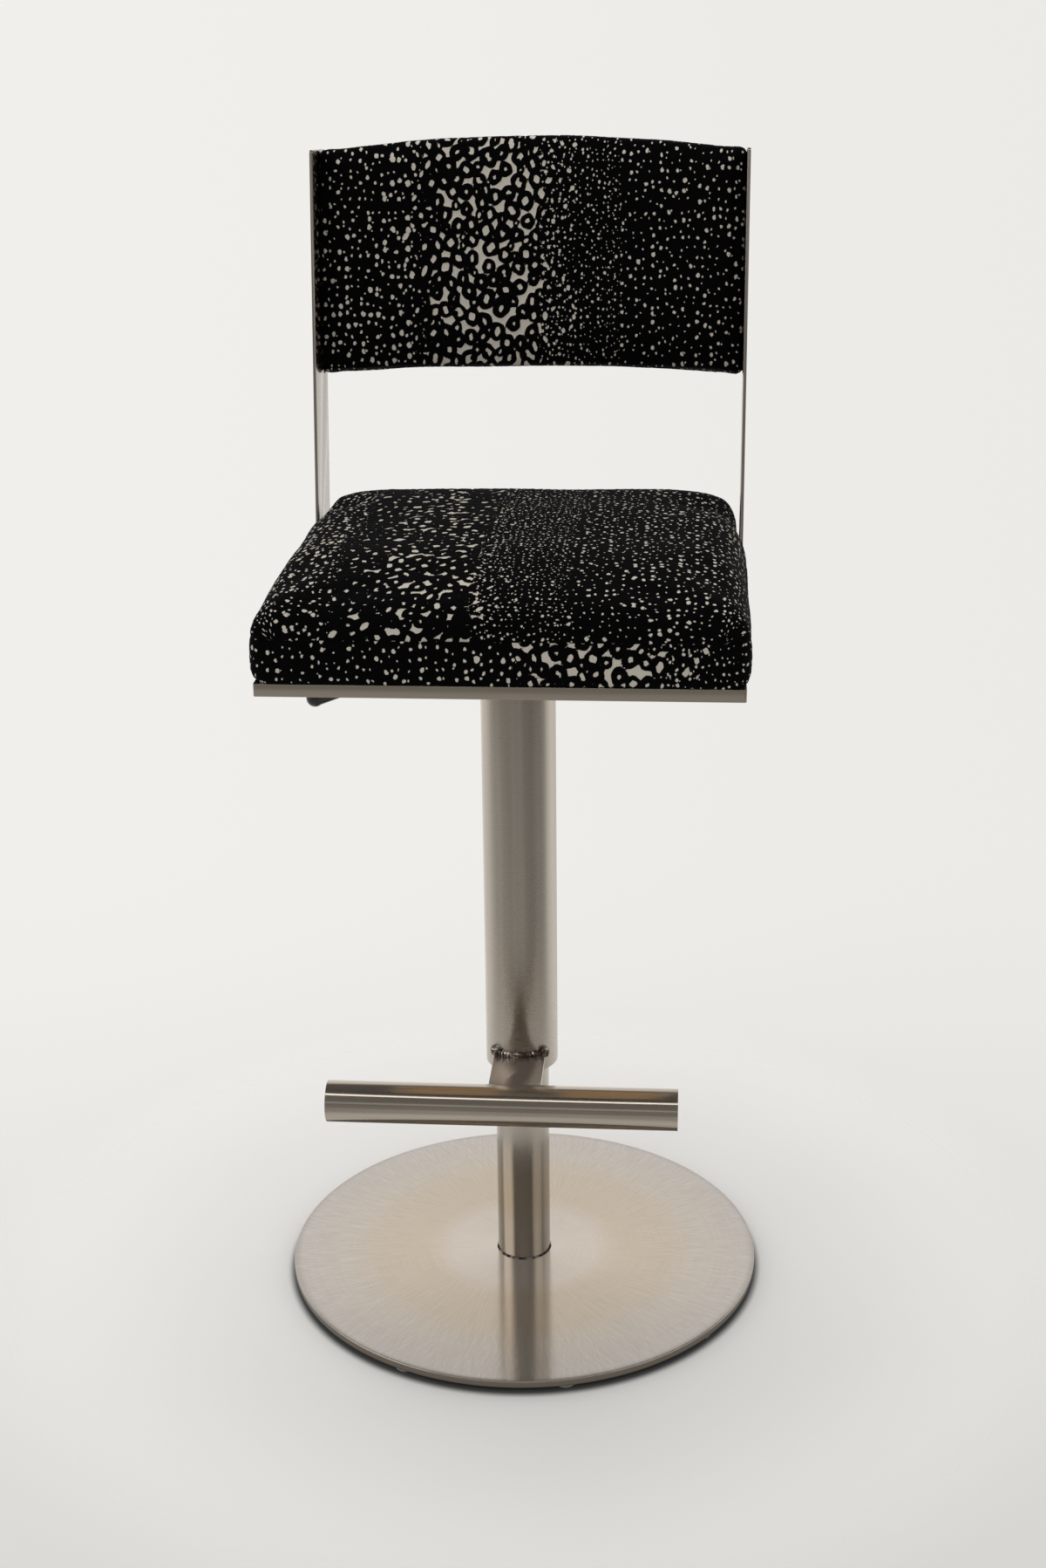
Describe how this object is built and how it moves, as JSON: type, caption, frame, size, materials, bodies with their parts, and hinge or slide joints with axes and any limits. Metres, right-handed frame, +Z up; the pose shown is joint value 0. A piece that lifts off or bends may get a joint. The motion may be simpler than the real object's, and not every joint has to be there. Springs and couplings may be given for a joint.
{
  "type": "swivelling bar stool",
  "caption": "Bar stool with a padded seat and back on a gas-spring column, a round base disc, a footrest that rides with the seat and a height lever.",
  "frame": {"origin": "on the column's axis, at the underside of the base disc, 6 mm above the floor that the glides stand on", "axes": "+Z up along the column, -Y towards where the sitter faces, +X to the sitter's left; stored with the seat fully raised and facing square"},
  "size_m": [0.508, 0.5911, 1.1803],
  "materials": {
    "disc_steel": "brushed in rings, satin",
    "column_steel": "brushed lengthwise, fairly bright",
    "tube_steel": "brushed lengthwise, satin",
    "frame_steel": "brushed lengthwise, satin",
    "post_steel": "brushed lengthwise, satin",
    "bracket_steel": "brushed, satin",
    "footrest_steel": "brushed lengthwise, satin",
    "weld_bead": "rippled bead, shiny",
    "plain_steel": "mill finish, lightly oiled",
    "lever_steel": "dark, satin",
    "rod_chrome": "ground and polished",
    "bearing_steel": "polished",
    "screw_steel": "zinc plated",
    "nylon": "matt",
    "buffer_rubber": "matt",
    "grip_plastic": "smooth, semi-gloss",
    "glide_black": "matt",
    "glide_clear": "clear, glossy",
    "plywood": "birch plywood, bare",
    "seat_fabric": "black and taupe pile with rings and dots, velvety",
    "back_fabric": "black and taupe pile with rings and dots, velvety"
  },
  "bodies": {
    "base": {"base_plate": "disc_steel", "glide_discs": "glide_black", "glides": "glide_clear", "base_column": "column_steel", "column_weld": "weld_bead", "cylinder_seat": "plain_steel", "stand_tube": "plain_steel", "column_collar": "nylon", "guide_bush": "nylon", "bearing_plate": "plain_steel", "lower_race": "bearing_steel", "ball_cage": "nylon", "bearing_balls": "bearing_steel"},
    "rod": {"upper_race": "bearing_steel", "rod_buffer": "buffer_rubber", "rod_clip": "plain_steel", "piston_rod": "rod_chrome", "piston": "plain_steel", "piston_ring": "buffer_rubber"},
    "seat": {"pressure_tube": "rod_chrome", "rod_guide": "nylon", "valve_body": "plain_steel", "taper_socket": "plain_steel", "seat_tube": "tube_steel", "seat_tube_weld": "weld_bead", "seat_strap": "plain_steel", "corner_tabs": "plain_steel", "frame_front_bar": "frame_steel", "frame_rear_bar": "frame_steel", "frame_right_bar": "frame_steel", "frame_left_bar": "frame_steel", "board_screws": "screw_steel", "seat_board": "plywood", "seat_cushion": "seat_fabric", "right_post": "post_steel", "left_post": "post_steel", "post_welds": "weld_bead", "back_panel": "plywood", "back_cushion": "back_fabric", "back_screws": "screw_steel", "footrest_bracket": "bracket_steel", "bracket_weld": "weld_bead", "footrest_tube": "footrest_steel", "footrest_welds": "weld_bead", "footrest_end_discs": "footrest_steel", "lever_ears": "plain_steel"},
    "lever": {"pivot_pin": "rod_chrome", "lever_arm": "lever_steel", "lever_grip": "grip_plastic"},
    "valve_pin": {"release_pin": "rod_chrome"}
  },
  "joints": [
    {"name": "swivel", "type": "hinge", "parent": "base", "child": "rod", "pos_m": [0, 0, 0], "axis": [0, 0, 1], "continuous": true},
    {"name": "height", "type": "slide", "parent": "rod", "child": "seat", "axis": [0, 0, 1], "range_m": [-0.2, 0]},
    {"name": "height_lever", "type": "hinge", "parent": "seat", "child": "lever", "pos_m": [-0.022, 0, 0.697], "axis": [0, 1, 0], "range_deg": [0, 8], "stiffness_Nm_per_rad": 1, "springref_deg": -5.73},
    {"name": "valve_stroke", "type": "slide", "parent": "seat", "child": "valve_pin", "axis": [0, 0, 1], "range_m": [-0.0038, 0]}
  ],
  "couplings": [
    {"joint": "valve_stroke", "follows": "height_lever", "m_per_rad": -0.0245}
  ]
}
